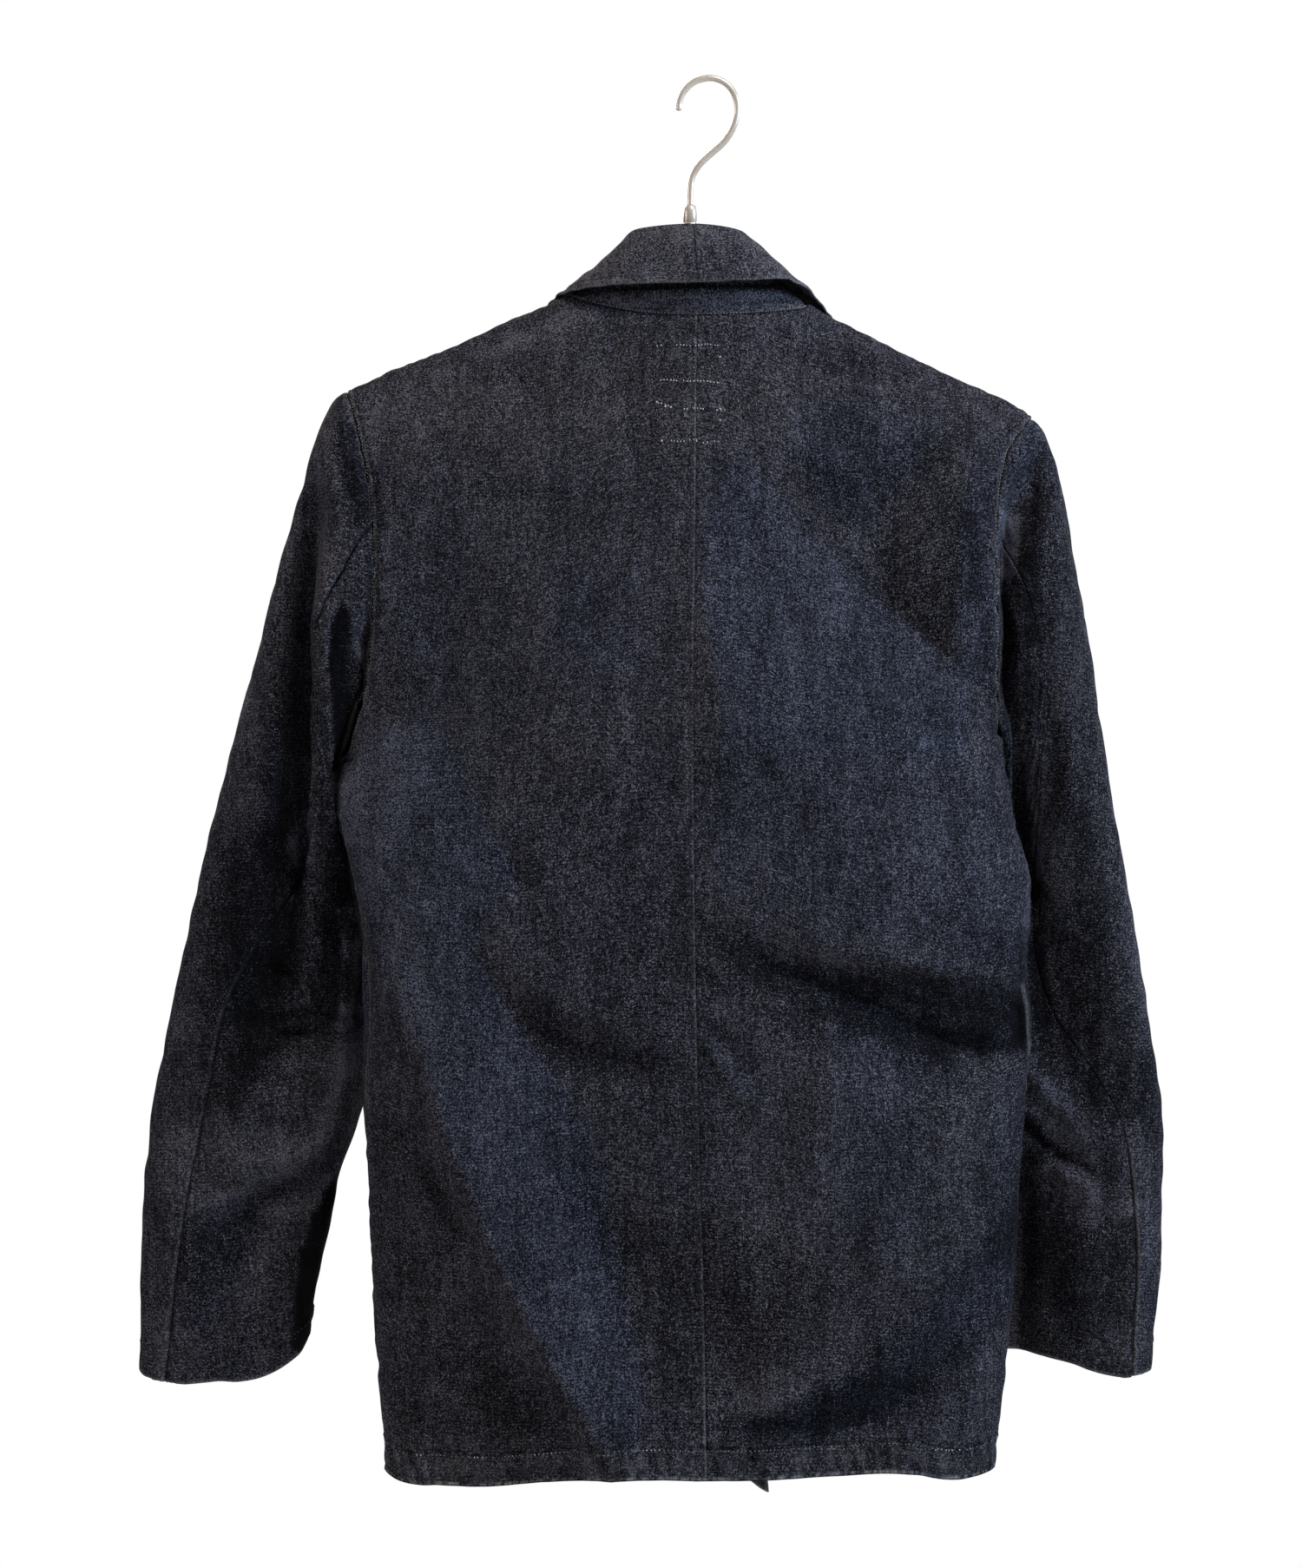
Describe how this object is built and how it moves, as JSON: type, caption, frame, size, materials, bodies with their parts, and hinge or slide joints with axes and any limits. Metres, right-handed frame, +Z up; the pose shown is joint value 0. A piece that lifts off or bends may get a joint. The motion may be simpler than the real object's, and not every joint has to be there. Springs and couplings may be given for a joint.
{
  "type": "denim jacket on a hanger",
  "caption": "Dark indigo denim jacket with a tailored collar, two-piece sleeves and a turned hem, hanging by its back on a plain hanger with a bent steel hook.",
  "frame": {"origin": "the point inside the top of the hook that rests on a rail", "axes": "+Z up, the jacket's back faces -Y and its front +Y, -X towards the wearer's left"},
  "size_m": [0.6379, 0.171, 0.8685],
  "materials": {
    "denim": "matt indigo twill, slightly worn at the seams and hem",
    "button": "dark, lightly polished",
    "hanger_wood": "clear satin",
    "hook_steel": "bright drawn wire"
  },
  "bodies": {
    "root": {"back_left": "denim", "back_right": "denim", "front_left": "denim", "front_right": "denim", "sleeve_top_left": "denim", "sleeve_under_left": "denim", "sleeve_top_right": "denim", "sleeve_under_right": "denim", "collar_stand": "denim", "collar_fall_left": "denim", "collar_fall_right": "denim", "lapel_left": "denim", "lapel_right": "denim", "button_1": "button", "button_2": "button", "button_3": "button", "hanger_bar": "hanger_wood", "hanger_ferrule": "hook_steel", "hanger_hook": "hook_steel"}
  },
  "joints": []
}
